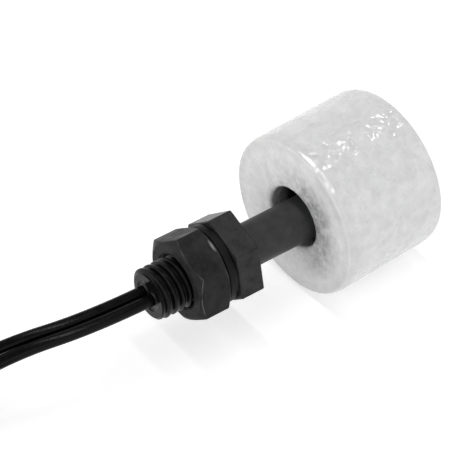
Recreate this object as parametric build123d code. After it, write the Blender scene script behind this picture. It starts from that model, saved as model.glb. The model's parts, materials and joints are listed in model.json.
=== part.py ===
from build123d import *
import os
from math import cos, pi, radians, sin, tan

# Miniature vertical float switch, in millimetres.
# +X runs along the stem from the threaded neck to the tip and +Z is up. The origin is on the stem's axis,
# at the flange face that seals against a tank wall. The switch lies on the side of its float.

# Moulded body
NECK_RADIUS = 4.875
NECK_LENGTH = 14.3
NECK_CHAMFER = 0.5
HEX_ACROSS_FLATS = 15.0
FLANGE_THICKNESS = 4.8
FLANGE_ROLL = 18.3
HEX_CORNER_FILLET = 0.35
HEX_EDGE_CHAMFER = 0.25
STEM_RADIUS = 4.1
STEM_ROOT_CHAMFER = 0.5
CORE_RADIUS = 2.9
TIP_WALL = 5.0
TIP_LENGTH = 2.0
TIP_CHAMFER = 0.6

# Nut and gasket
NUT_THICKNESS = 6.5
NUT_ROLL = 23.7
NUT_RUNNING_CLEARANCE = 0.1
NUT_CHAMFER_RADIUS = 7.1
NUT_CHAMFER_ANGLE = 30.0
NUT_BORE_CHAMFER = 0.6
GASKET_RADIUS = 7.4
GASKET_THICKNESS = 1.8
GASKET_CLEARANCE = 0.1
GASKET_EDGE = 0.3

# Float and its ring magnet
FLOAT_RADIUS = 15.6
FLOAT_LENGTH = 22.0
FLOAT_RIM = 0.8
FLOAT_RIM_STEPS = 3
FLOAT_BORE_RADIUS = 6.3
FLOAT_BORE_EDGE = 0.5
FLOAT_GAP = 12.55
FLOAT_SIDE_OFFSET = 0.9
FLOAT_LIFT = 0.9
FLOAT_YAW = 3.2
MAGNET_WALL = 0.6
MAGNET_RING = 3.0
MAGNET_LENGTH = 6.0
MAGNET_INSET = 2.4

# Snap ring at the tip
CLIP_RADIUS = 7.6
CLIP_THICKNESS = 1.0
CLIP_PLAY = 0.05
CLIP_FREE_GAP = 0.65
GROOVE_DEPTH = 0.55
CLIP_MOUTH = 6.2
CLIP_CORNER = 0.4

# Reed switch inside the stem
GLASS_RADIUS = 1.1
GLASS_WALL = 0.3
GLASS_LENGTH = 14.0
GLASS_START = 14.0
GLASS_SEAL = 1.6
GLASS_SHOULDER = 0.7
GLASS_LIFT = 0.9
REED_WIRE_RADIUS = 0.25
REED_TAIL = 4.0
BLADE_WIDTH = 0.9
BLADE_THICKNESS = 0.2
BLADE_GAP = 0.1
BLADE_OVERLAP = 1.2
BLADE_ROOT = 0.4
RETURN_RADIUS = 0.5
RETURN_DROP = 1.7
RETURN_HOOK = 2.5
SPLICE_X = -4.0
SPLICE_RADIUS = 0.65
SPLICE_LENGTH = 3.0
FAN_START = 9.0
FAN_END = 1.0

# Twin leads
LEAD_RADIUS = 1.15
LEAD_SIDE = 1.25
CONDUCTOR_RADIUS = 0.35
POTTING_RECESS = 0.4
POTTING_BEHIND = 0.5
STRIPPED_LENGTH = 6.0
COIL_RADIUS = 12.3
COIL_TURNS = 2.5
COIL_STACK = 2.35

# Each lead's points from the potting to the coil: side by side at first, one above the other at the coil
RUN_POINTS = {
    "a": [
        (-9.0, LEAD_SIDE, 0.0),
        (-24.0, LEAD_SIDE, 0.0),
        (-42.0, 6.0, -0.95),
        (-60.0, 13.6, -10.7),
        (-78.0, 11.0, -11.2),
    ],
    "b": [
        (-9.0, -LEAD_SIDE, 0.0),
        (-24.0, -LEAD_SIDE, 0.0),
        (-42.0, 3.5, -1.35),
        (-60.0, 10.4, -12.6),
        (-78.0, 11.0, -13.55),
    ],
}
# and from the top of the coil to its stripped end on the table
TAIL_POINTS = {
    "a": [
        (-78.0, -13.6, 0.55),
        (-68.0, -13.6, 0.3),
        (-53.0, -13.2, -12.8),
        (-43.0, -15.6, -13.5),
    ],
    "b": [
        (-78.0, -13.6, -1.8),
        (-69.0, -15.2, -1.8),
        (-55.0, -17.4, -13.0),
        (-45.5, -21.0, -13.55),
    ],
}

# Derived places along the axis
FLOAT_NEAR = FLANGE_THICKNESS + FLOAT_GAP
FLOAT_MIDDLE = Vector(FLOAT_NEAR + FLOAT_LENGTH / 2, FLOAT_SIDE_OFFSET, FLOAT_LIFT)
GROOVE_START = FLOAT_NEAR + FLOAT_LENGTH + CLIP_FREE_GAP
GROOVE_END = GROOVE_START + CLIP_THICKNESS + CLIP_PLAY
TIP_END = GROOVE_END + TIP_LENGTH
CORE_END = TIP_END - TIP_WALL
GLASS_END = GLASS_START + GLASS_LENGTH
TURN_X = GLASS_END + REED_TAIL
RETURN_START = TURN_X - RETURN_HOOK
TABLE_Z = FLOAT_LIFT - FLOAT_RADIUS
HEX_CORNER_RADIUS = HEX_ACROSS_FLATS / 2 / cos(pi / 6)


def rod(radius, start, end, y=0.0, z=0.0):
    """A round bar along X from start to end."""
    upright = Cylinder(radius, end - start, align=(Align.CENTER, Align.CENTER, Align.MIN))
    return Pos(start, y, z) * Rot(0, 90, 0) * upright


def hex_bar(start, end, roll):
    """A hexagonal bar along X."""
    section = Plane.YZ.offset(start) * RegularPolygon(HEX_CORNER_RADIUS, 6, rotation=roll)
    return extrude(section, end - start)


def rim_edges(solid, radius):
    """The round edges of one radius about the X axis."""
    return solid.edges().filter_by(GeomType.CIRCLE).filter_by(lambda edge: abs(edge.radius - radius) < 0.01)


def round_path(points):
    """Straight runs joined by the largest arcs that they allow, and the arcs' radii."""
    corners = [Vector(*point) for point in points]
    radii = []
    for before, here, after in zip(corners, corners[1:], corners[2:]):
        shorter_run = min((here - before).length, (after - here).length)
        half_turn = radians((here - before).get_angle(after - here)) / 2
        radii.append(0.45 * shorter_run / tan(half_turn))
    return FilletPolyline(*points, radius=radii), radii


def round_wire(path, radius):
    """A round section carried along a path."""
    section = Plane(origin=path @ 0, z_dir=path % 0) * Circle(radius)
    return sweep(section, path=path, transition=Transition.RIGHT)


def wire(points, radius):
    """A round wire that bends smoothly along a route."""
    path, radii = round_path(points)
    return round_wire(path, radius), min(radii), path.length


def make_body():
    """The moulding: threaded neck, hexagonal flange and closed tubular stem, hollow from the neck's end."""
    flange = hex_bar(0, FLANGE_THICKNESS, FLANGE_ROLL)
    flange = fillet(flange.edges().filter_by(Axis.X), HEX_CORNER_FILLET)
    faces = flange.faces().filter_by(Axis.X)
    flange = chamfer(faces.edges(), HEX_EDGE_CHAMFER)
    neck = rod(NECK_RADIUS, -NECK_LENGTH, 0)
    neck = chamfer(neck.edges().filter_by(GeomType.CIRCLE).sort_by(Axis.X)[0], NECK_CHAMFER)
    stem = rod(STEM_RADIUS, FLANGE_THICKNESS, TIP_END)
    stem = chamfer(stem.edges().filter_by(GeomType.CIRCLE).sort_by(Axis.X)[-1], TIP_CHAMFER)
    body = flange + neck + stem
    root = rim_edges(body, STEM_RADIUS).sort_by(Axis.X)[0]
    body = chamfer(root, STEM_ROOT_CHAMFER)
    groove = rod(STEM_RADIUS + 1, GROOVE_START, GROOVE_END) - rod(STEM_RADIUS - GROOVE_DEPTH, GROOVE_START, GROOVE_END)
    return body - groove - rod(CORE_RADIUS, -NECK_LENGTH, CORE_END)


def make_nut():
    """A hexagonal nut, chamfered on both faces."""
    far = -GASKET_THICKNESS - NUT_THICKNESS
    near = -GASKET_THICKNESS
    rise = (HEX_CORNER_RADIUS - NUT_CHAMFER_RADIUS) * tan(radians(NUT_CHAMFER_ANGLE))
    outline = Polyline(
        (far, 0),
        (far, NUT_CHAMFER_RADIUS),
        (far + rise, HEX_CORNER_RADIUS),
        (near - rise, HEX_CORNER_RADIUS),
        (near, NUT_CHAMFER_RADIUS),
        (near, 0),
        close=True,
    )
    blank = revolve(make_face(outline), Axis.X)
    nut = blank & hex_bar(far, near, NUT_ROLL)
    bore_radius = NECK_RADIUS + NUT_RUNNING_CLEARANCE
    nut -= rod(bore_radius, far, near)
    return chamfer(rim_edges(nut, bore_radius), NUT_BORE_CHAMFER)


def make_gasket():
    """A flat rubber ring with softened outer edges."""
    ring = rod(GASKET_RADIUS, -GASKET_THICKNESS, 0)
    ring = chamfer(rim_edges(ring, GASKET_RADIUS), GASKET_EDGE)
    return ring - rod(NECK_RADIUS + GASKET_CLEARANCE, -GASKET_THICKNESS, 0)


def place_float(solid):
    """Where the loose float lies on the stem: lifted, to one side and a little askew."""
    return Pos(FLOAT_MIDDLE) * Rot(0, 0, FLOAT_YAW) * solid


def make_magnet():
    """The ring magnet, in the float's own frame."""
    inner = FLOAT_BORE_RADIUS + MAGNET_WALL
    start = MAGNET_INSET - FLOAT_LENGTH / 2
    end = start + MAGNET_LENGTH
    return rod(inner + MAGNET_RING, start, end) - rod(inner, start, end)


def float_rim(end, side):
    """The softened rim's outline at one end of the float, from its flat face to its side."""
    turns = [pi / 2 * step / FLOAT_RIM_STEPS for step in range(FLOAT_RIM_STEPS + 1)]
    inset = FLOAT_RADIUS - FLOAT_RIM
    return [(end - side * FLOAT_RIM * (1 - sin(turn)), inset + FLOAT_RIM * cos(turn)) for turn in reversed(turns)]


def make_float(magnet):
    """The foam float with softened rims, moulded round its magnet."""
    half = FLOAT_LENGTH / 2
    outline = [(half, 0), *float_rim(half, 1), *reversed(float_rim(-half, -1)), (-half, 0)]
    solid = revolve(make_face(Polyline(*outline, close=True)), Axis.X)
    solid -= rod(FLOAT_BORE_RADIUS, -half, half)
    solid = chamfer(rim_edges(solid, FLOAT_BORE_RADIUS), FLOAT_BORE_EDGE)
    return solid - magnet


def make_clip():
    """An open snap ring that holds the float on the stem."""
    start = GROOVE_START + CLIP_PLAY / 2
    end = start + CLIP_THICKNESS
    inner = STEM_RADIUS - GROOVE_DEPTH + CLIP_PLAY
    ring = rod(CLIP_RADIUS, start, end) - rod(inner, start, end)
    mouth = Pos((start + end) / 2, 0, -CLIP_RADIUS / 2) * Box(2 * CLIP_THICKNESS, CLIP_MOUTH, CLIP_RADIUS)
    clip = ring - mouth
    return fillet(clip.edges().filter_by(Axis.X), CLIP_CORNER)


def reed_blade(root_x, tip_x, side):
    """One blade's flat part, above the glass's axis for side 1 and below it for side -1."""
    middle = GLASS_LIFT + side * (BLADE_GAP + BLADE_THICKNESS) / 2
    length = abs(tip_x - root_x)
    return Pos((root_x + tip_x) / 2, 0, middle) * Box(length, BLADE_WIDTH, BLADE_THICKNESS)


def make_reed():
    """The glass capsule and its two blades. Each blade is one piece with its own wire."""
    contact = (GLASS_START + GLASS_END) / 2
    near_route = Polyline(
        (GLASS_START + GLASS_SEAL, 0, GLASS_LIFT),
        (FAN_START, 0, GLASS_LIFT),
        (FAN_END, LEAD_SIDE, 0),
        (SPLICE_X, LEAD_SIDE, 0),
    )
    near_wire = round_wire(near_route, REED_WIRE_RADIUS)
    far_route = Polyline(
        (GLASS_END - GLASS_SEAL, 0, GLASS_LIFT),
        (TURN_X, 0, GLASS_LIFT),
        (TURN_X, 0, -RETURN_DROP),
        (RETURN_START, 0, -RETURN_DROP),
    )
    far_wire = round_wire(far_route, REED_WIRE_RADIUS)
    root = GLASS_START + GLASS_SEAL - BLADE_ROOT
    near = near_wire + reed_blade(root, contact + BLADE_OVERLAP / 2, 1)
    root = GLASS_END - GLASS_SEAL + BLADE_ROOT
    far = far_wire + reed_blade(root, contact - BLADE_OVERLAP / 2, -1)
    capsule = rod(GLASS_RADIUS, GLASS_START, GLASS_END, z=GLASS_LIFT)
    capsule = chamfer(rim_edges(capsule, GLASS_RADIUS), GLASS_SHOULDER)
    capsule -= rod(
        GLASS_RADIUS - GLASS_WALL, GLASS_START + GLASS_SEAL, GLASS_END - GLASS_SEAL, z=GLASS_LIFT
    )
    return capsule - near - far, near, far


def make_return_wire():
    """The insulated wire that brings the far blade's connection back to the neck."""
    route = Polyline(
        (RETURN_START, 0, -RETURN_DROP),
        (FAN_START, 0, -RETURN_DROP),
        (FAN_END, -LEAD_SIDE, 0),
        (SPLICE_X, -LEAD_SIDE, 0),
    )
    return round_wire(route, RETURN_RADIUS)


def splice(middle_x, y, z, wires):
    """A soldered splice round the wires that meet in it."""
    half = SPLICE_LENGTH / 2
    solid = rod(SPLICE_RADIUS, middle_x - half, middle_x + half, y, z)
    for piece in wires:
        solid -= piece
    return solid


def make_coil():
    """The outer shape of both leads wound together, one above the other."""
    height = COIL_STACK * (2 * COIL_TURNS + 1) + 2 * LEAD_RADIUS
    start = RUN_POINTS["b"][-1]
    middle = Pos(start[0], start[1] - COIL_RADIUS, TABLE_Z)
    bottom = (Align.CENTER, Align.CENTER, Align.MIN)
    outer = Cylinder(COIL_RADIUS + LEAD_RADIUS, height, align=bottom)
    return middle * (outer - Cylinder(COIL_RADIUS - LEAD_RADIUS, height, align=bottom))


def make_parts():
    """Every piece by name."""
    magnet = make_magnet()
    glass, near_blade, far_blade = make_reed()
    return_wire = make_return_wire()
    parts = {
        "stem_body": make_body(),
        "hex_nut": make_nut(),
        "sealing_gasket": make_gasket(),
        "float_body": place_float(make_float(magnet)),
        "float_magnet": place_float(magnet),
        "retaining_clip": make_clip(),
        "reed_glass": glass,
        "reed_blade_a": near_blade,
        "reed_blade_b": far_blade,
        "return_wire": return_wire,
        "lead_coil": make_coil(),
    }
    entry = RUN_POINTS["a"][0][0]
    potting = rod(CORE_RADIUS, POTTING_RECESS - NECK_LENGTH, entry + POTTING_BEHIND)
    for name, side, meeting in (("a", LEAD_SIDE, near_blade), ("b", -LEAD_SIDE, return_wire)):
        run, run_bend, run_length = wire(RUN_POINTS[name], LEAD_RADIUS)
        tail, tail_bend, tail_length = wire(TAIL_POINTS[name], LEAD_RADIUS)
        core = rod(CONDUCTOR_RADIUS, entry, SPLICE_X, y=side)
        before_end, end = [Vector(*point) for point in TAIL_POINTS[name][-2:]]
        tinned = extrude(Plane(origin=end, z_dir=end - before_end) * Circle(CONDUCTOR_RADIUS), STRIPPED_LENGTH)
        parts[f"lead_{name}_run"] = run
        parts[f"lead_{name}_tail"] = tail
        parts[f"lead_{name}_core"] = core
        parts[f"tinned_end_{name}"] = tinned
        parts[f"solder_joint_{name}"] = splice(SPLICE_X, side, 0, [core, meeting])
        potting -= run + core
        outside = run_length - (NECK_LENGTH + entry) + tail_length + COIL_TURNS * 2 * pi * COIL_RADIUS
        print(f"lead {name}: least bend {min(run_bend, tail_bend):.1f}, outside length {outside:.0f}")
    parts["potting_plug"] = potting
    parts["solder_joint_c"] = splice(RETURN_START, 0, -RETURN_DROP, [return_wire, far_blade])
    return parts


os.makedirs("parts", exist_ok=True)
for node, solid in make_parts().items():
    export_step(solid, f"parts/{node}.step")
    print(f"{node}: {solid.volume:.2f} mm3")
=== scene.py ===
import json
import math

import bmesh
import bpy
from mathutils import Matrix, Vector, noise


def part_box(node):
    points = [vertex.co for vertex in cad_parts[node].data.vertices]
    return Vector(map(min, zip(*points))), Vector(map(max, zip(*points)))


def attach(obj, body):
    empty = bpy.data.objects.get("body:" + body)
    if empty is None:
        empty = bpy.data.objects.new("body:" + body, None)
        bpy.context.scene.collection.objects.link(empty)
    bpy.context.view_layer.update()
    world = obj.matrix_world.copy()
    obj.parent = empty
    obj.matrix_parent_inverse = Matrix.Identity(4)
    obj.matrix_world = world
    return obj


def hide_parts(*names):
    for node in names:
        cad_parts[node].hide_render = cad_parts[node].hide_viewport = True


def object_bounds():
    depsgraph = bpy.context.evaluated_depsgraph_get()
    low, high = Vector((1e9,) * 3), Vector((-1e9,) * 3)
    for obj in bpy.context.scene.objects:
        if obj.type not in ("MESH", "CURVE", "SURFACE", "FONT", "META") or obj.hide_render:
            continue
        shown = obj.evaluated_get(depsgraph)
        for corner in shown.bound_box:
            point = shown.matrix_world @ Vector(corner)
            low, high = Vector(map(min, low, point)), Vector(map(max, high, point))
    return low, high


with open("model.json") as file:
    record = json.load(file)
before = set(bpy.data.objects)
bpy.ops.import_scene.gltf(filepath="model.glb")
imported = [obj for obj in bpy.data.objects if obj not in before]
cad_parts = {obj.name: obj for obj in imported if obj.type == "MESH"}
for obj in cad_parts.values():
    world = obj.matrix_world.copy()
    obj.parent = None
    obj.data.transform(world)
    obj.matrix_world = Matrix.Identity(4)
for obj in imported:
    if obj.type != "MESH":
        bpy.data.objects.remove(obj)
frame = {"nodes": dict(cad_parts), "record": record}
CAD_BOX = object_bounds()

# Miniature float switch. The shapes are worked out in millimetres and written in metres.
# +X runs along the stem from the threaded neck to the tip and +Z is up.
MM = 0.001
TAU = 2 * math.pi

# The thread: its pitch and depth, the widths of its crest and root, where along the neck a turn
# starts, and how many rows of points each turn gets
THREAD_PITCH = 1.5
THREAD_DEPTH = 0.75
THREAD_CREST = 0.3
THREAD_ROOT = 0.25
THREAD_START = 0.55
THREAD_ROWS = 20

# The moulding: its neck, the bore inside it, the hexagonal flange and the stem with its groove.
# Each EDGE is the rounding of that edge.
NECK_RUN_IN = 0.55
NECK_UNDERCUT = 1.0
NECK_END_INSET = 1.2
CORE_RADIUS = 2.9
CORE_EDGE = 0.2
CORE_END_WALL = 5.0
CORE_END_EDGE = 0.4
FLANGE_THICKNESS = 4.8
FLANGE_ROLL = 18.3
FLANGE_EDGE = 0.3
HEX_FLATS = 15.0
HEX_CORNER = 0.45
STEM_RADIUS = 4.1
STEM_ROOT = 0.5
TIP_EDGE = 0.6
GROOVE_DEPTH = 0.55
GROOVE_EDGE = 0.1
GROOVE_PLAY = 0.025

# The nut, how wide its painted edge highlights are, and where and how far its painted glint is
NUT_ROLL = 23.7
NUT_CHAMFER_RADIUS = 7.1
NUT_CHAMFER_ANGLE = 30.0
NUT_FACE_EDGE = 0.15
NUT_RIM_EDGE = 0.25
NUT_THREAD_PLAY = 0.1
NUT_MOUTH = 5.5
HIGHLIGHT_WIDTH = 0.16
GLINT_SPOT = (-2.4, -2.5, 7.1)
GLINT_SPOT_REACH = (0.32, 1.5, 0.5)

# The gasket
GASKET_BORE = 4.98
GASKET_BORE_EDGE = 0.15
GASKET_RIM_EDGE = 0.35
GASKET_BULGE = 0.05
GASKET_BULGE_ROUNDING = 2.0

# The float with its shoulders, and its magnet: how far inside the near face it starts and how far
# outside the bore it reaches
FLOAT_YAW = 3.2
FLOAT_LENGTH = 22.0
FLOAT_RIM = 0.45
FLOAT_BORE = 6.3
FLOAT_MOUTH = 0.6
FLOAT_LIP = 5.9
SHOULDER_DROP = 0.36
SHOULDER_LENGTH = 1.2
SHOULDER_ROUNDING = 1.5
# MAGNET_START and MAGNET_REACH place the painted shade round and inside the bore
MAGNET_START = 2.4
MAGNET_REACH = 5.0

# The float's skin: how far inside the solid it lies, the distance between its points, the depth of
# its waves and the length of the broad and the fine ones
FLOAT_SKIN = 0.04
FLOAT_CELL = 0.36
FLOAT_WAVES = 0.05
BROAD_WAVE = 4.5
FINE_WAVE = 1.7
FINE_WAVE_SHIFT = (31, 7, 3)

# The snap ring, and the shares of its sweep with an extra section for its rounded end
CLIP_MOUTH = 6.2
CLIP_INNER = 3.6
CLIP_EDGE = 0.12
CLIP_END_SHARES = (0.0, 0.004, 0.014, 0.03)

# The leads: from the neck by way of the run, round the coil from the first turn up, and out along
# the tail
LEAD_DIAMETER = 2.3
LEAD_SIDE = 1.25
COIL_RADIUS = 12.3
COIL_RISE = 4.7
COIL_TURNS = 2.5
COIL_STEPS = 16
COIL_CENTRE = (-78.0, -1.3)
LEADS = {
    "a": {
        "run": [
            (-9.0, LEAD_SIDE, 0.0),
            (-24.0, LEAD_SIDE, 0.0),
            (-42.0, 6.0, -0.95),
            (-60.0, 13.6, -10.7),
        ],
        "first_turn": -11.2,
        "tail": [
            (-68.0, -13.6, 0.3),
            (-53.0, -13.2, -12.8),
            (-43.0, -15.6, -13.5),
        ],
    },
    "b": {
        "run": [
            (-9.0, -LEAD_SIDE, 0.0),
            (-24.0, -LEAD_SIDE, 0.0),
            (-42.0, 3.5, -1.35),
            (-60.0, 10.4, -12.6),
        ],
        "first_turn": -13.55,
        "tail": [
            (-69.0, -15.2, -1.8),
            (-55.0, -17.4, -13.0),
            (-45.5, -21.0, -13.55),
        ],
    },
}

# A bare end's strands: how many show, their twist in radians a millimetre, the radius between two
# of them and how much more it is on one, both as shares of the whole, how far inside the
# insulation they start, and the blunt nose at their tip
STRAND_LOBES = 6
STRAND_TWIST = 0.55
STRAND_VALLEY = 0.84
STRAND_RELIEF = 0.15
STRAND_ROOT = 0.2
STRAND_NOSE = 0.35
STRAND_BLUNTNESS = 0.12
STRAND_LAST_ROW = 0.05
STRAND_TIP = 0.02

# The resin: its face, then how high it climbs and how far from there that fades, at a lead and at
# the neck's wall, and its highest climb
POTTING_FACE = -13.9
CLIMB_AT_LEAD = (0.3, 0.22)
CLIMB_AT_WALL = (0.25, 0.25)
HIGHEST_CLIMB = 0.38

# The camera: where it looks, from how far and from which side
VIEW_TARGET = (4.12, 2.28, 4.61)
VIEW_DISTANCE = 420.0
VIEW_AZIMUTH = 36.29
VIEW_ELEVATION = 42.81
LENS = 191.3
SENSOR = 36.0

# The body's grey and how far its clouds stray from it, as a share: in the thread's grooves, on its
# crests, on the flange and on the stem
# The darker greys in the thread are painted shade, the lighter grey on the stem a painted sheen
MOULDING_TONES = ((0.004, 0.3), (0.007, 0.3), (0.03, 0.3), (0.052, 0.12))

# The painted highlights on the nut's edges and its one painted glint
EDGE_HIGHLIGHT = (0.15, 0.15, 0.15)
GLINT_COLOUR = (0.24, 0.24, 0.24)

# The float's two whites, its specks, its painted shade at the bore and on its near rim, the grey
# of the magnet and of painted shade deep in the bore, and the way from the axis to the side with
# more blotches of painted shade
FOAM_WHITES = ((0.74, 0.74, 0.745), (0.88, 0.88, 0.88))
FOAM_SPECK = (0.5, 0.5, 0.5)
FOAM_SHADE = (0.2, 0.2, 0.2)
FOAM_RIM_SHADE = (0.5, 0.5, 0.5)
MAGNET_AND_SHADE_GREY = (0.035, 0.035, 0.035)
BLOTCHED_SIDE = (0.0, -0.94, 0.35)

# The table's colour and how much of its white is its own glow, and then how bright the studio
# looks and how strongly it lights, each at the walls and at the ceiling
WHITE = (1.0, 1.0, 1.0, 1.0)
TABLE_COLOUR = (0.88, 0.88, 0.88, 1.0)
TABLE_GLOW = 0.46
STUDIO_LOOK = (1.0, 0.35)
STUDIO_LIGHT = (1.0, 0.05)


def box_mm(node):
    """A CAD node's lowest and highest corners in millimetres."""
    low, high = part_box(node)
    return low / MM, high / MM


def mount(name):
    """That mount of the record."""
    return next(found for found in frame["record"]["mounts"] if found["name"] == name)


# ---------------------------------------------------------------- shapes


def rounded_corner(before, here, after, radius, steps, support):
    """The arc that rounds one corner of an outline, with a supporting point each side of it."""
    back = (before - here).normalized()
    ahead = (after - here).normalized()
    half = back.angle(ahead) / 2
    reach = radius / math.tan(half)
    centre = here + (back + ahead).normalized() * radius / math.sin(half)
    start = here + back * reach - centre
    end = here + ahead * reach - centre
    swing = start.angle(end)
    points = [here + back * (reach + support)]
    for step in range(steps + 1):
        share = step / steps
        mixed = start * math.sin((1 - share) * swing) + end * math.sin(share * swing)
        points.append(centre + mixed / math.sin(swing))
    points.append(here + ahead * (reach + support))
    return points


def soft_outline(corners, steps=4, support=0.05):
    """(x, radius) points of an outline with rounded corners.

    Each corner is an x, a radius and its rounding. The first and the last stay sharp."""
    places = [Vector(corner[:2]) for corner in corners]
    points = [places[0]]
    for index in range(1, len(corners) - 1):
        rounding = corners[index][2]
        points += rounded_corner(*places[index - 1 : index + 2], rounding, steps, support)
    points.append(places[-1])
    return [tuple(point) for point in points]


def hexagon(angle, roll, rounding):
    """The distance from the axis to a hexagon with rounded corners."""
    apothem = HEX_FLATS / 2
    sixth = math.pi / 3
    off = abs((angle - math.radians(roll)) % sixth - sixth / 2)
    if apothem * math.tan(off) <= (apothem - rounding) * math.tan(sixth / 2):
        return apothem / math.cos(off)
    centre = (apothem - rounding) / math.cos(sixth / 2)
    away = sixth / 2 - off
    return centre * math.cos(away) + math.sqrt(rounding**2 - (centre * math.sin(away)) ** 2)


def hex_angles(roll, across=14):
    """Angles round a hexagon, close together at its corners."""
    near_corner = [math.radians(degrees) for degrees in (0, 0.5, 1.0, 1.5, 2.1, 3.0)]
    flat = math.pi / 3 - 2 * near_corner[-1]
    angles = []
    for side in range(6):
        corner = math.radians(roll) + side * math.pi / 3
        angles += [corner + step for step in near_corner]
        angles += [corner + near_corner[-1] + flat * step / across for step in range(1, across)]
        angles += [corner + math.pi / 3 - step for step in reversed(near_corner[1:])]
    return angles


def even_angles(count):
    """Angles evenly round the axis."""
    return [TAU * step / count for step in range(count)]


def smooth_step(value):
    """0 below 0, 1 above 1 and a smooth rise between."""
    value = min(max(value, 0.0), 1.0)
    return value * value * (3 - 2 * value)


def thread_drop(x, angle):
    """How far the right-hand thread lies below its crest."""
    turn = ((x - THREAD_START) / THREAD_PITCH - angle / TAU) % 1.0
    from_crest = abs(turn - 0.5) * THREAD_PITCH
    flank = (THREAD_PITCH - THREAD_CREST - THREAD_ROOT) / 2
    return THREAD_DEPTH * smooth_step((from_crest - THREAD_CREST / 2) / flank)


def polar(x, radius, angle):
    """A point at that distance from the X axis, in metres."""
    return Vector((x, radius * math.cos(angle), radius * math.sin(angle))) * MM


def finished(bm, name, sharp=40.0):
    """An object made of a bmesh, smooth except at its sharp edges."""
    bmesh.ops.recalc_face_normals(bm, faces=bm.faces)
    mesh = bpy.data.meshes.new(name)
    bm.to_mesh(mesh)
    bm.free()
    mesh.polygons.foreach_set("use_smooth", [True] * len(mesh.polygons))
    mesh.set_sharp_from_angle(angle=math.radians(sharp))
    made = bpy.data.objects.new(name, mesh)
    bpy.context.scene.collection.objects.link(made)
    return made


def lathe(name, outline, angles, shift=None):
    """A piece round the X axis. outline(angle) lists (x, radius) points.

    An outline that starts and ends on the axis makes a closed skin, and any other is joined end to
    end. shift(point) may move each point."""
    bm = bmesh.new()
    columns = [outline(angle) for angle in angles]
    on_axis = columns[0][0][1] == 0
    poles = []
    if on_axis:
        poles = [bm.verts.new(polar(columns[0][end][0], 0, 0)) for end in (0, -1)]
        columns = [column[1:-1] for column in columns]
    grid = []
    for angle, column in zip(angles, columns):
        places = [polar(x, radius, angle) for x, radius in column]
        if shift:
            places = [shift(place) for place in places]
        grid.append([bm.verts.new(place) for place in places])
    last = len(columns[0]) - 1
    for here, after in zip(grid, grid[1:] + grid[:1]):
        for row in range(last):
            bm.faces.new((here[row], after[row], after[row + 1], here[row + 1]))
        if on_axis:
            bm.faces.new((poles[0], after[0], here[0]))
            bm.faces.new((poles[1], here[last], after[last]))
        else:
            bm.faces.new((here[last], after[last], after[0], here[0]))
    return finished(bm, name)


def dress(piece, body, slot, material, *nodes):
    """The piece rides on its body, stands for its CAD nodes and wears its material."""
    piece.data.materials.append(material)
    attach(piece, body)
    if nodes:
        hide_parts(*nodes)
    return piece


# ---------------------------------------------------------------- materials


def new_material(name, **values):
    """A material and its shader, with the values that are the same all over it."""
    material = bpy.data.materials.new(name)
    material.use_nodes = True
    shader = material.node_tree.nodes["Principled BSDF"]
    for socket, value in values.items():
        shader.inputs[socket.replace("_", " ")].default_value = value
    return material, shader


def node(tree, kind, *, inputs=None, **settings):
    """A new shader node. Each input is a value, or a socket of another node to link it to."""
    made = tree.nodes.new(kind)
    for name, value in settings.items():
        setattr(made, name, value)
    for name, value in (inputs or {}).items():
        if isinstance(value, bpy.types.NodeSocket):
            tree.links.new(value, made.inputs[name])
        else:
            made.inputs[name].default_value = value
    return made


def object_place(tree):
    return node(tree, "ShaderNodeTexCoord").outputs["Object"]


def vector_length(tree, vector):
    made = node(tree, "ShaderNodeVectorMath", operation="LENGTH", inputs={0: vector})
    return made.outputs["Value"]


def axis_distance(tree, place):
    """The distance from the X axis, for a place that is split into X, Y and Z."""
    inputs = {"Y": place.outputs["Y"], "Z": place.outputs["Z"]}
    return vector_length(tree, node(tree, "ShaderNodeCombineXYZ", inputs=inputs).outputs["Vector"])


def speckle(tree, size, detail=3.0, roughness=0.5, distortion=0.0):
    """Noise with features of about that size in millimetres."""
    inputs = {
        "Vector": object_place(tree),
        "Scale": 1 / (size * MM),
        "Detail": detail,
        "Roughness": roughness,
        "Distortion": distortion,
    }
    return node(tree, "ShaderNodeTexNoise", inputs=inputs).outputs["Fac"]


def ramp(tree, value, low, high, start, end):
    """A number that goes from start to end as value goes from low to high."""
    inputs = {"Value": value, "From Min": low, "From Max": high, "To Min": start, "To Max": end}
    return node(tree, "ShaderNodeMapRange", inputs=inputs).outputs["Result"]


def fade(tree, distance, low, high, start=1.0, end=0.0):
    """A ramp over a distance, with low and high in millimetres."""
    return ramp(tree, distance, low * MM, high * MM, start, end)


def math_node(tree, operation, first, second):
    made = node(tree, "ShaderNodeMath", operation=operation, inputs={0: first, 1: second})
    return made.outputs[0]


def multiplied(tree, first, second):
    return math_node(tree, "MULTIPLY", first, second)


def blend_colours(tree, share, first, second):
    """The first colour where the share is 0 and the second where it is 1."""
    mix = node(tree, "ShaderNodeMix", data_type="RGBA", inputs={"Factor": share})
    for index, colour in ((6, first), (7, second)):
        if isinstance(colour, bpy.types.NodeSocket):
            tree.links.new(colour, mix.inputs[index])
        else:
            mix.inputs[index].default_value = (*colour, 1.0)
    return mix.outputs[2]


def bumped(tree, height, depth, strength=1.0, under=None):
    """A normal from a height. The depth is in millimetres, under is a coarser bump's normal."""
    inputs = {"Height": height, "Distance": depth * MM, "Strength": strength}
    if under:
        inputs["Normal"] = under
    return node(tree, "ShaderNodeBump", inputs=inputs).outputs["Normal"]


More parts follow.
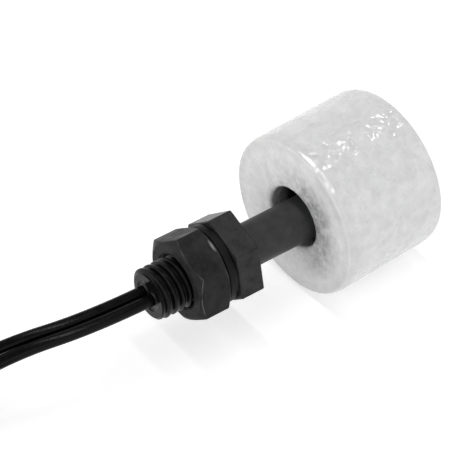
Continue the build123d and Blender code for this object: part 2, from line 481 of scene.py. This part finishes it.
def plastic(name, *, dark, light, patch, gloss, grain, grain_depth, ior):
    """Moulded plastic or rubber: cloudy patches of two tones and glosses, over a fine grain."""
    material, shader = new_material(name, IOR=ior)
    tree = material.node_tree
    cloud = speckle(tree, patch, detail=4.0, roughness=0.6)
    fine = speckle(tree, grain, detail=2.0)
    share = ramp(tree, cloud, 0.35, 0.65, 0.0, 1.0)
    tree.links.new(blend_colours(tree, share, dark, light), shader.inputs["Base Color"])
    tree.links.new(ramp(tree, cloud, 0.3, 0.7, *gloss), shader.inputs["Roughness"])
    wavy = bumped(tree, cloud, grain_depth * 4, strength=0.5)
    tree.links.new(bumped(tree, fine, grain_depth, under=wavy), shader.inputs["Normal"])
    return material


def paint_nut_highlights(material):
    """Painted highlights: broken light lines on the marked edges and one painted glint."""
    tree = material.node_tree
    base = tree.nodes["Principled BSDF"].inputs["Base Color"]
    plain = base.links[0].from_socket
    edge_highlight = node(tree, "ShaderNodeAttribute", attribute_name="edge_highlight").outputs["Fac"]
    # painted highlight: broken light lines along the marked chamfer edges
    broken = ramp(tree, speckle(tree, 3.0, detail=2.0), 0.42, 0.58, 0.1, 1.0)
    highlighted_edges = blend_colours(tree, multiplied(tree, edge_highlight, broken), plain, EDGE_HIGHLIGHT)
    # painted highlight: one glint spot on a rear chamfer edge of the nut
    inputs = {
        "Vector": object_place(tree),
        "Location": Vector(GLINT_SPOT) * MM,
        "Rotation": (math.radians(NUT_ROLL), 0, 0),
        "Scale": Vector(GLINT_SPOT_REACH) * MM,
    }
    from_spot = node(tree, "ShaderNodeMapping", vector_type="TEXTURE", inputs=inputs)
    away = vector_length(tree, from_spot.outputs["Vector"])
    glint_share = ramp(tree, away, 0.3, 1.0, 1.0, 0.0)
    tree.links.new(blend_colours(tree, glint_share, highlighted_edges, GLINT_COLOUR), base)


def moulding_tone(tree, share, grey, spread):
    """Two tones of nearly neutral black about that grey, mixed by the clouds."""
    low = grey * (1 - spread)
    high = grey * (1 + 1.15 * spread)
    return blend_colours(tree, share, (low, low, low * 1.03), (high, high, high * 1.04))


def body_moulding():
    """Body plastic: painted shade in the thread, mottled flange, satin stem with a painted sheen.
    """
    material, shader = new_material("black_moulding_finish", IOR=1.2)
    tree = material.node_tree
    cloud = speckle(tree, 2.0, detail=4.0, roughness=0.6)
    fine = speckle(tree, 0.25, detail=2.0)
    share = ramp(tree, cloud, 0.35, 0.65, 0.0, 1.0)

    place = node(tree, "ShaderNodeSeparateXYZ", inputs={"Vector": object_place(tree)})
    along = place.outputs["X"]
    neck_radius = mount("neck_thread")["dims"]["r_mm"]
    on_flange = fade(tree, along, -0.3, 0.0, 0.0, 1.0)
    on_stem = fade(tree, along, FLANGE_THICKNESS, FLANGE_THICKNESS + 0.6, 0.0, 1.0)
    on_crest = fade(tree, axis_distance(tree, place), neck_radius - 0.3, neck_radius, 0.0, 1.0)

    # painted shade in the thread's grooves and on its crests, painted sheen on the stem
    groove, crest, flange, stem = (moulding_tone(tree, share, *tone) for tone in MOULDING_TONES)
    neck = blend_colours(tree, on_crest, groove, crest)
    tone = blend_colours(tree, on_flange, neck, blend_colours(tree, on_stem, flange, stem))
    tree.links.new(tone, shader.inputs["Base Color"])

    cloudy_gloss = ramp(tree, cloud, 0.3, 0.7, 0.15, 0.25)
    satin = multiplied(tree, on_flange, ramp(tree, on_stem, 0.0, 1.0, 0.1, 0.2))
    tree.links.new(math_node(tree, "ADD", cloudy_gloss, satin), shader.inputs["Roughness"])
    wavy = bumped(tree, cloud, 0.04, strength=0.5)
    tree.links.new(bumped(tree, fine, 0.006, under=wavy), shader.inputs["Normal"])
    return material


def metal(name, *, colour, rough, scratch):
    """Bright soft metal with a fine drawn grain."""
    material, shader = new_material(name, Metallic=1.0)
    tree = material.node_tree
    grain = speckle(tree, scratch, detail=4.0)
    darker = tuple(channel * 0.7 for channel in colour)
    tree.links.new(blend_colours(tree, grain, darker, colour), shader.inputs["Base Color"])
    tree.links.new(ramp(tree, grain, 0.3, 0.7, rough, rough + 0.2), shader.inputs["Roughness"])
    tree.links.new(bumped(tree, grain, 0.01, strength=0.5), shader.inputs["Normal"])
    return material


def clear_glass():
    """Faintly green glass, a little wavy."""
    material, shader = new_material("reed_glass_finish", IOR=1.5, Transmission_Weight=1.0)
    tree = material.node_tree
    waves = speckle(tree, 3.0)
    tree.links.new(ramp(tree, waves, 0.3, 0.7, 0.02, 0.07), shader.inputs["Roughness"])
    green = blend_colours(tree, waves, (0.78, 0.9, 0.84), (0.84, 0.93, 0.88))
    tree.links.new(green, shader.inputs["Base Color"])
    return material


def shaded_foam(tree, plain, place):
    """The float's colour: the magnet showing through and painted shade at the bore and near rim.
    """
    along = place.outputs["X"]
    from_axis = axis_distance(tree, place)
    near = -FLOAT_LENGTH / 2
    patchy = speckle(tree, 1.3, detail=3.0, roughness=0.6)

    # painted shade in part: blotches on the near face in front of the magnet, more on one side
    # the rest of their grey is the magnet showing through the foam
    ring = fade(tree, from_axis, FLOAT_BORE + 2.2, FLOAT_BORE + MAGNET_REACH + 1.5)
    on_face = fade(tree, along, near, near + 0.5)
    inputs = {0: object_place(tree), 1: BLOTCHED_SIDE}
    to_side = node(tree, "ShaderNodeVectorMath", operation="DOT_PRODUCT", inputs=inputs)
    on_side = fade(tree, to_side.outputs["Value"], -2.0, 6.0, 0.12, 1.0)
    blotches = multiplied(tree, on_side, ramp(tree, patchy, 0.38, 0.64, 0.3, 0.8))
    shade = multiplied(tree, multiplied(tree, ring, on_face), blotches)
    colour = blend_colours(tree, shade, plain, FOAM_SHADE)

    # painted shade: a darker lip round the bore
    lip = fade(tree, from_axis, FLOAT_LIP, FLOAT_LIP + 1.5)
    dim = multiplied(tree, lip, ramp(tree, patchy, 0.35, 0.65, 0.2, 0.6))
    colour = blend_colours(tree, dim, colour, FOAM_SHADE)

    # painted shade: a greyer band round the near rim
    outer = fade(tree, from_axis, 13.0, 15.2, 0.0, 0.4)
    near_end = fade(tree, along, near + 0.3, near + 3.0)
    colour = blend_colours(tree, multiplied(tree, outer, near_end), colour, FOAM_RIM_SHADE)

    # darker deep in the bore: partly the magnet behind the bore's thin wall, partly painted shade
    start = near + MAGNET_START
    in_bore = fade(tree, from_axis, FLOAT_BORE + 0.1, FLOAT_BORE + 0.4)
    depth = fade(tree, along, start - 0.6, start + 1.8, 0.0, 0.95)
    return blend_colours(tree, multiplied(tree, in_bore, depth), colour, MAGNET_AND_SHADE_GREY)


def float_foam():
    """Foamed plastic with fine specks and a wavy glossy skin, calmer at the near face."""
    material, shader = new_material(
        "float_foam_finish", IOR=1.5, Subsurface_Weight=0.6, Subsurface_Scale=0.0025
    )
    shader.inputs["Subsurface Radius"].default_value = (1.0, 0.97, 0.94)
    tree = material.node_tree
    clouds = speckle(tree, 2.2, detail=5.0, roughness=0.62, distortion=0.2)
    cells = speckle(tree, 0.6, detail=2.0)
    white = blend_colours(tree, ramp(tree, clouds, 0.3, 0.7, 0.0, 1.0), *FOAM_WHITES)
    specks = ramp(tree, cells, 0.28, 0.42, 0.25, 0.0)
    speckled = blend_colours(tree, specks, white, FOAM_SPECK)
    place = node(tree, "ShaderNodeSeparateXYZ", inputs={"Vector": object_place(tree)})
    tree.links.new(shaded_foam(tree, speckled, place), shader.inputs["Base Color"])
    tree.links.new(ramp(tree, clouds, 0.3, 0.7, 0.05, 0.13), shader.inputs["Roughness"])
    near = -FLOAT_LENGTH / 2
    calmer = fade(tree, place.outputs["X"], near + 1.0, near + 2.2, 0.2, 1.0)
    waves = bumped(tree, speckle(tree, 2.2, detail=1.0, distortion=0.3), 0.5, strength=calmer)
    tree.links.new(bumped(tree, cells, 0.008, under=waves), shader.inputs["Normal"])
    return material


BLACK = body_moulding()
NUT_BLACK = plastic(
    "hex_nut_finish",
    dark=(0.02, 0.02, 0.0205),
    light=(0.034, 0.034, 0.035),
    patch=2.4,
    gloss=(0.2, 0.5),
    grain=0.25,
    grain_depth=0.006,
    ior=1.1,
)
paint_nut_highlights(NUT_BLACK)
RUBBER = plastic(
    "gasket_rubber_finish",
    dark=(0.003, 0.003, 0.003),
    light=(0.006, 0.006, 0.006),
    patch=1.5,
    gloss=(0.45, 0.6),
    grain=0.12,
    grain_depth=0.008,
    ior=1.25,
)
INSULATION = plastic(
    "lead_insulation_finish",
    dark=(0.0015, 0.0015, 0.0015),
    light=(0.003, 0.003, 0.0035),
    patch=2.0,
    gloss=(0.16, 0.3),
    grain=0.3,
    grain_depth=0.003,
    ior=1.2,
)
RESIN = plastic(
    "potting_resin_finish",
    dark=(0.003, 0.003, 0.003),
    light=(0.006, 0.006, 0.006),
    patch=1.2,
    gloss=(0.2, 0.4),
    grain=0.4,
    grain_depth=0.004,
    ior=1.3,
)
FERRITE = plastic(
    "ferrite_finish",
    dark=(0.03, 0.03, 0.032),
    light=(0.07, 0.07, 0.072),
    patch=0.6,
    gloss=(0.55, 0.75),
    grain=0.1,
    grain_depth=0.02,
    ior=1.5,
)
CLIP = plastic(
    "snap_ring_finish",
    dark=(0.008, 0.008, 0.009),
    light=(0.016, 0.016, 0.017),
    patch=1.0,
    gloss=(0.3, 0.42),
    grain=0.15,
    grain_depth=0.006,
    ior=1.35,
)
FOAM = float_foam()
TIN = metal("tinned_copper_finish", colour=(0.75, 0.74, 0.72), rough=0.22, scratch=0.15)
SOLDER = metal("solder_finish", colour=(0.66, 0.66, 0.67), rough=0.28, scratch=0.4)
ALLOY = metal("reed_alloy_finish", colour=(0.72, 0.71, 0.68), rough=0.2, scratch=0.2)
GLASS = clear_glass()


# ---------------------------------------------------------------- the leads


def lead_points(side):
    """The lead's route: out of the neck, round the coil and back to its stripped end."""
    lead = LEADS[side]
    radius = COIL_RADIUS / math.cos(math.pi / COIL_STEPS)
    points = list(lead["run"])
    for step in range(int(COIL_STEPS * COIL_TURNS) + 1):
        turns = step / COIL_STEPS
        angle = math.pi / 2 + TAU * turns
        x = COIL_CENTRE[0] + radius * math.cos(angle)
        y = COIL_CENTRE[1] + radius * math.sin(angle)
        points.append((x, y, lead["first_turn"] + COIL_RISE * turns))
    return points + lead["tail"]


def make_lead(side, y, *nodes):
    """One lead as one smooth line."""
    name = f"lead_{side}"
    data = bpy.data.curves.new(name, "CURVE")
    data.dimensions = "3D"
    spline = data.splines.new("NURBS")
    points = lead_points(side)
    spline.points.add(len(points) - 1)
    for control, point in zip(spline.points, points):
        control.co = (*(Vector(point) * MM), 1.0)
    spline.order_u = 3
    spline.use_endpoint_u = True
    data.resolution_u = 10
    data.bevel_depth = LEAD_DIAMETER / 2 * MM
    data.bevel_resolution = 5
    data.use_fill_caps = True
    lead = bpy.data.objects.new(name, data)
    bpy.context.scene.collection.objects.link(lead)
    dress(lead, "switch", "lead_insulation", INSULATION, *nodes)
    return lead


def make_strands(side):
    """The bare end of a lead: six twisted strands round a seventh, run together with tin."""
    end = mount(f"lead_end_{side}")
    radius = end["dims"]["r_mm"]
    length = end["dims"]["length_mm"]
    rows = 48
    span = length - STRAND_LAST_ROW + STRAND_ROOT

    def outline(angle):
        points = [(-STRAND_ROOT, 0.0)]
        for row in range(rows + 1):
            x = span * row / rows - STRAND_ROOT
            lobe = abs(math.cos(STRAND_LOBES / 2 * (angle - STRAND_TWIST * x)))
            into_nose = smooth_step((x - length + STRAND_NOSE) / STRAND_NOSE)
            taper = math.sqrt(max(1 - into_nose**2, STRAND_BLUNTNESS))
            points.append((x, radius * (STRAND_VALLEY + STRAND_RELIEF * lobe) * taper))
        return points + [(length - STRAND_TIP, 0.0)]

    strands = lathe(f"tinned_strands_{side}", outline, even_angles(48))
    turn = Vector((1, 0, 0)).rotation_difference(Vector(end["axis"])).to_matrix().to_4x4()
    strands.matrix_world = Matrix.Translation(Vector(end["pos_m"])) @ turn
    return dress(strands, "switch", "tinned_copper", TIN, f"tinned_end_{side}")


# ---------------------------------------------------------------- the switch


def make_body():
    """Threaded neck, hexagonal flange and stem in one skin, from the tip to the bore's end."""
    low, high = box_mm("stem_body")
    neck_end, tip = low.x, high.x
    clip_low, clip_high = box_mm("retaining_clip")
    groove_start = clip_low.x - GROOVE_PLAY
    groove_end = clip_high.x + GROOVE_PLAY
    floor = STEM_RADIUS - GROOVE_DEPTH
    neck_radius = mount("neck_thread")["dims"]["r_mm"]
    rows = round(-neck_end / THREAD_PITCH * THREAD_ROWS)

    def neck_radius_at(x, angle):
        crest = neck_radius - thread_drop(x, angle)
        end = smooth_step((x - neck_end) / NECK_RUN_IN)
        nose = neck_radius - NECK_RUN_IN * (1 - end)
        run_out = smooth_step(-x / NECK_UNDERCUT)
        root = neck_radius - THREAD_DEPTH
        return min(root + (crest - root) * run_out, nose)

    def outline(angle):
        rim = hexagon(angle, FLANGE_ROLL, HEX_CORNER)
        outside = soft_outline(
            [
                (tip, 0, 0),
                (tip, STEM_RADIUS, TIP_EDGE),
                (groove_end, STEM_RADIUS, GROOVE_EDGE),
                (groove_end, floor, GROOVE_EDGE),
                (groove_start, floor, GROOVE_EDGE),
                (groove_start, STEM_RADIUS, GROOVE_EDGE),
                (FLANGE_THICKNESS, STEM_RADIUS, STEM_ROOT),
                (FLANGE_THICKNESS, rim, FLANGE_EDGE),
                (0, rim, FLANGE_EDGE),
                (0, neck_radius - THREAD_DEPTH, 0),
            ]
        )
        thread = []
        for row in range(1, rows + 1):
            x = neck_end * row / rows
            thread.append((x, neck_radius_at(x, angle)))
        inside = soft_outline(
            [
                (neck_end, neck_radius - NECK_END_INSET, 0),
                (neck_end, CORE_RADIUS, CORE_EDGE),
                (tip - CORE_END_WALL, CORE_RADIUS, CORE_END_EDGE),
                (tip - CORE_END_WALL, 0, 0),
            ]
        )
        return outside + thread + inside

    body = lathe("stem_moulding", outline, hex_angles(FLANGE_ROLL))
    return dress(body, "switch", "black_moulding", BLACK, "stem_body")


def make_nut():
    """A hexagonal nut: rounded chamfers outside and the mating thread inside."""
    low, high = box_mm("hex_nut")
    far, near = low.x, high.x
    neck_radius = mount("neck_thread")["dims"]["r_mm"]
    rows = round((near - far) / THREAD_PITCH * THREAD_ROWS)
    slope = math.tan(math.radians(NUT_CHAMFER_ANGLE))

    def outline(angle):
        rim = hexagon(angle, NUT_ROLL, HEX_CORNER)
        rise = (rim - NUT_CHAMFER_RADIUS) * slope
        outside = soft_outline(
            [
                (far, NUT_MOUTH, 0),
                (far, NUT_CHAMFER_RADIUS, NUT_FACE_EDGE),
                (far + rise, rim, NUT_RIM_EDGE),
                (near - rise, rim, NUT_RIM_EDGE),
                (near, NUT_CHAMFER_RADIUS, NUT_FACE_EDGE),
                (near, NUT_MOUTH, 0),
            ],
            steps=3,
            support=0.15,
        )
        thread = []
        for row in range(1, rows):
            x = near + (far - near) * row / rows
            from_face = min(x - far, near - x)
            mouth = NUT_MOUTH - from_face
            thread_radius = neck_radius + NUT_THREAD_PLAY - thread_drop(x, angle)
            thread.append((x, max(thread_radius, mouth)))
        return outside + thread

    nut = lathe("hexagonal_nut", outline, hex_angles(NUT_ROLL))
    # painted highlight: this attribute is 1 on the chamfer edges, where light lines are painted
    edge_highlight = nut.data.attributes.new("edge_highlight", "FLOAT", "POINT")
    for vertex, value in zip(nut.data.vertices, edge_highlight.data):
        x, y, z = vertex.co / MM
        rim = hexagon(math.atan2(z, y), NUT_ROLL, HEX_CORNER)
        rise = (rim - NUT_CHAMFER_RADIUS) * slope
        along = min(abs(x - far - rise), abs(near - rise - x))
        off = math.hypot(along, rim - math.hypot(y, z))
        value.value = 1 - smooth_step(off / HIGHLIGHT_WIDTH)
    return dress(nut, "nut", "black_moulding", NUT_BLACK, "hex_nut")


def make_gasket():
    """A rubber washer, squeezed a little proud at its rim."""
    low, high = box_mm("sealing_gasket")
    middle = (low.x + high.x) / 2

    def outline(angle):
        ring = soft_outline(
            [
                (middle, GASKET_BORE, 0),
                (low.x, GASKET_BORE, GASKET_BORE_EDGE),
                (low.x, high.z - GASKET_BULGE, GASKET_RIM_EDGE),
                (middle, high.z, GASKET_BULGE_ROUNDING),
                (high.x, high.z - GASKET_BULGE, GASKET_RIM_EDGE),
                (high.x, GASKET_BORE, GASKET_BORE_EDGE),
                (middle, GASKET_BORE, 0),
            ]
        )
        return ring[:-1]

    gasket = lathe("rubber_gasket", outline, even_angles(144))
    return dress(gasket, "gasket", "gasket_rubber", RUBBER, "sealing_gasket")


def make_float():
    """The foam float: a thick ring with soft rims and a skin that is uneven all over."""
    low, high = box_mm("float_body")
    centre = (low + high) / 2
    radius = (high.z - low.z) / 2 - FLOAT_SKIN
    half = FLOAT_LENGTH / 2

    def spread(start, end):
        """Points between two ends of a straight stretch, about a cell apart."""
        start, end = Vector(start), Vector(end)
        count = max(int((end - start).length / FLOAT_CELL), 1)
        return [tuple(start.lerp(end, step / count)) for step in range(1, count)]

    corners = [
        (0, FLOAT_BORE, 0),
        (-half, FLOAT_LIP, FLOAT_MOUTH),
        (-half, radius - SHOULDER_DROP, FLOAT_RIM),
        (SHOULDER_LENGTH - half, radius, SHOULDER_ROUNDING),
        (half - SHOULDER_LENGTH, radius, SHOULDER_ROUNDING),
        (half, radius - SHOULDER_DROP, FLOAT_RIM),
        (half, FLOAT_BORE, FLOAT_MOUTH),
        (0, FLOAT_BORE, 0),
    ]
    coarse = soft_outline(corners, steps=5, support=0.25)
    dense = []
    for here, after in zip(coarse, coarse[1:]):
        dense.append(here)
        dense += spread(here, after)

    def uneven(place):
        """Shallow dents and waves that only go inwards."""
        spot = place / MM
        broad = noise.noise(spot / BROAD_WAVE)
        fine = noise.noise(spot / FINE_WAVE + Vector(FINE_WAVE_SHIFT))
        waves = 0.65 * broad + 0.35 * fine
        dent = FLOAT_WAVES * (0.5 + 0.8 * waves)

        # inwards is to the axis on the side and to the middle on a face, and the bore stays put
        from_axis = Vector((0, spot.y, spot.z))
        outward = from_axis.normalized()
        to_end = smooth_step((abs(spot.x) - half + 2 * FLOAT_RIM) / (2 * FLOAT_RIM))
        to_bore = 1 - smooth_step(from_axis.length - FLOAT_BORE)
        lean = Vector((math.copysign(to_end, spot.x), 0, 0)) + outward * (1 - 0.7 * to_end)
        inward = lean.normalized() * (1 - to_bore)
        return (spot - inward * max(dent, 0)) * MM

    made = lathe("foam_float", lambda angle: dense, even_angles(270), shift=uneven)
    yaw = Matrix.Rotation(math.radians(FLOAT_YAW), 4, "Z")
    made.matrix_world = Matrix.Translation(centre * MM) @ yaw
    return dress(made, "float", "float_foam", FOAM, "float_body")


def make_clip():
    """The open snap ring, a flat section swept round from one side of its mouth to the other."""
    low, high = box_mm("retaining_clip")
    outer = high.z
    half_mouth = math.asin(CLIP_MOUTH / 2 / outer)
    start = -math.pi / 2 + half_mouth
    sweep = TAU - 2 * half_mouth
    steps = 96
    blunt = CLIP_END_SHARES[-1]
    shares = list(CLIP_END_SHARES)
    shares += [blunt + (1 - 2 * blunt) * step / steps for step in range(1, steps)]
    shares += [1 - share for share in reversed(CLIP_END_SHARES)]
    middle = Vector(((low.x + high.x) / 2, (CLIP_INNER + outer) / 2))
    section = soft_outline(
        [
            (low.x, middle.y, 0),
            (low.x, CLIP_INNER, CLIP_EDGE),
            (high.x, CLIP_INNER, CLIP_EDGE),
            (high.x, outer, CLIP_EDGE),
            (low.x, outer, CLIP_EDGE),
            (low.x, middle.y, 0),
        ]
    )[:-1]
    bm = bmesh.new()
    rings = []
    for share in shares:
        # the last few sections at each end taper off
        shrink = 1.0
        to_end = min(share, 1 - share)
        if to_end < blunt:
            shrink = 0.55 + 0.45 * math.sqrt(1 - (1 - to_end / blunt) ** 2)
        ring = []
        for x, radius in section:
            spot = middle + (Vector((x, radius)) - middle) * shrink
            ring.append(bm.verts.new(polar(spot.x, spot.y, start + sweep * share)))
        rings.append(ring)
    count = len(section)
    for here, after in zip(rings, rings[1:]):
        for index in range(count):
            following = (index + 1) % count
            bm.faces.new((here[index], after[index], after[following], here[following]))
    bm.faces.new(rings[0])
    bm.faces.new(rings[-1])
    clip = finished(bm, "snap_ring")
    return dress(clip, "switch", "clip_plastic", CLIP, "retaining_clip")


def make_potting():
    """The resin in the neck's end, drawn up round the leads and the wall."""
    inner_end = box_mm("potting_plug")[1].x
    rings = 34
    insulation = LEAD_DIAMETER / 2
    lead_climb, lead_reach = CLIMB_AT_LEAD
    wall_climb, wall_reach = CLIMB_AT_WALL

    def outline(angle):
        points = [(POTTING_FACE, 0.0)]
        for ring in range(1, rings + 1):
            radius = CORE_RADIUS * ring / rings
            spot = Vector((radius * math.cos(angle), radius * math.sin(angle)))
            away = min((spot - Vector((side, 0))).length for side in (-LEAD_SIDE, LEAD_SIDE))
            at_lead = lead_climb * math.exp(-max(away - insulation, 0) / lead_reach)
            at_wall = wall_climb * math.exp((radius - CORE_RADIUS) / wall_reach)
            points.append((POTTING_FACE - min(at_lead + at_wall, HIGHEST_CLIMB), radius))
        return points + [(inner_end, CORE_RADIUS), (inner_end, 0.0)]

    potting = lathe("potting_resin", outline, even_angles(96))
    return dress(potting, "switch", "potting_resin", RESIN, "potting_plug")


def dress_cad_nodes():
    """Materials for the CAD nodes that stay: the magnet and what the stem holds."""
    finishes = {
        "float_magnet": FERRITE,
        "reed_glass": GLASS,
        "reed_blade_a": ALLOY,
        "reed_blade_b": ALLOY,
        "return_wire": INSULATION,
        "solder_joint_a": SOLDER,
        "solder_joint_b": SOLDER,
        "solder_joint_c": SOLDER,
        "lead_a_core": TIN,
        "lead_b_core": TIN,
    }
    for name, finish in finishes.items():
        for material_slot in frame["nodes"][name].material_slots:
            material_slot.material = finish


# ---------------------------------------------------------------- stage, light and camera


def seen_share(tree):
    """1 for rays that show the background: camera, glossy and transmission rays."""
    path = node(tree, "ShaderNodeLightPath").outputs
    first = math_node(tree, "MAXIMUM", path["Is Camera Ray"], path["Is Glossy Ray"])
    return math_node(tree, "MAXIMUM", first, path["Is Transmission Ray"])


def make_floor():
    """A pale table top under the switch, white where no shadow falls."""
    material, shader = new_material("table_top", Roughness=0.9, Specular_IOR_Level=0.0)
    shader.inputs["Base Color"].default_value = TABLE_COLOUR
    shader.inputs["Emission Color"].default_value = WHITE
    tree = material.node_tree
    glow = multiplied(tree, seen_share(tree), TABLE_GLOW)
    tree.links.new(glow, shader.inputs["Emission Strength"])
    bm = bmesh.new()
    bmesh.ops.create_grid(bm, x_segments=8, y_segments=8, size=3.0)
    bmesh.ops.translate(bm, verts=bm.verts, vec=(0, 0, CAD_BOX[0][2]))
    floor = finished(bm, "table")
    floor.data.materials.append(material)


def make_world():
    """A white studio whose ceiling is darker than its walls."""
    world = bpy.data.worlds.new("studio")
    bpy.context.scene.world = world
    world.use_nodes = True
    tree = world.node_tree
    background = tree.nodes["Background"]
    background.inputs["Color"].default_value = WHITE
    direction = node(tree, "ShaderNodeTexCoord").outputs["Generated"]
    height = node(tree, "ShaderNodeSeparateXYZ", inputs={"Vector": direction}).outputs["Z"]
    light = ramp(tree, height, 0.0, 1.0, *STUDIO_LIGHT)
    look = ramp(tree, height, 0.25, 0.7, *STUDIO_LOOK)
    inputs = {"Factor": seen_share(tree), 2: light, 3: look}
    strength = node(tree, "ShaderNodeMix", inputs=inputs)
    tree.links.new(strength.outputs[0], background.inputs["Strength"])


def make_lamp(name, *, direction, distance, size, power, along=(0, 1, 0)):
    """A soft box that faces the switch from that direction.

    Its size is its length, which runs along that vector, and its width, in metres."""
    data = bpy.data.lights.new(name, "AREA")
    data.shape = "RECTANGLE"
    data.size, data.size_y = size
    data.energy = power
    lamp = bpy.data.objects.new(name, data)
    away = Vector(direction).normalized()
    length = Vector(along) - away * away.dot(Vector(along))
    length.normalize()
    turn = Matrix((length, away.cross(length), away)).transposed()
    place = Vector(VIEW_TARGET) * MM + away * distance
    lamp.matrix_world = Matrix.Translation(place) @ turn.to_4x4()
    lamp.visible_camera = False
    bpy.context.scene.collection.objects.link(lamp)


def make_camera():
    """The camera, level and turned to the switch."""
    azimuth = math.radians(VIEW_AZIMUTH)
    elevation = math.radians(VIEW_ELEVATION)
    ahead = Vector((math.sin(azimuth), math.cos(azimuth), -math.tan(elevation))).normalized()
    data = bpy.data.cameras.new("camera")
    data.lens = LENS
    data.sensor_width = SENSOR
    data.clip_start = 0.01
    camera = bpy.data.objects.new("camera", data)
    camera.location = (Vector(VIEW_TARGET) - ahead * VIEW_DISTANCE) * MM
    camera.rotation_euler = ahead.to_track_quat("-Z", "Y").to_euler()
    bpy.context.scene.collection.objects.link(camera)
    bpy.context.scene.camera = camera


make_strands("a")
make_strands("b")
make_lead("a", LEAD_SIDE, "lead_a_run", "lead_a_tail", "lead_coil")
make_lead("b", -LEAD_SIDE, "lead_b_run", "lead_b_tail")
make_body()
make_nut()
make_gasket()
make_float()
make_clip()
make_potting()
dress_cad_nodes()

make_floor()
make_world()
make_lamp("rim_strip", direction=(0.013, -0.08, 1.0), distance=0.6, size=(0.72, 0.022), power=1.2)
make_lamp("spark", direction=(0.5, 0.15, 0.83), distance=0.6, size=(0.06, 0.06), power=0.22)
make_lamp("fill", direction=(-0.75, 0.1, 0.2), distance=0.9, size=(1.1, 1.1), power=4.3)
make_lamp(
    "front",
    direction=(-0.25, -0.85, 0.2),
    distance=0.9,
    size=(1.0, 1.0),
    power=1.5,
    along=(1, 0, 0),
)
make_camera()
bpy.context.scene.view_settings.view_transform = "Standard"
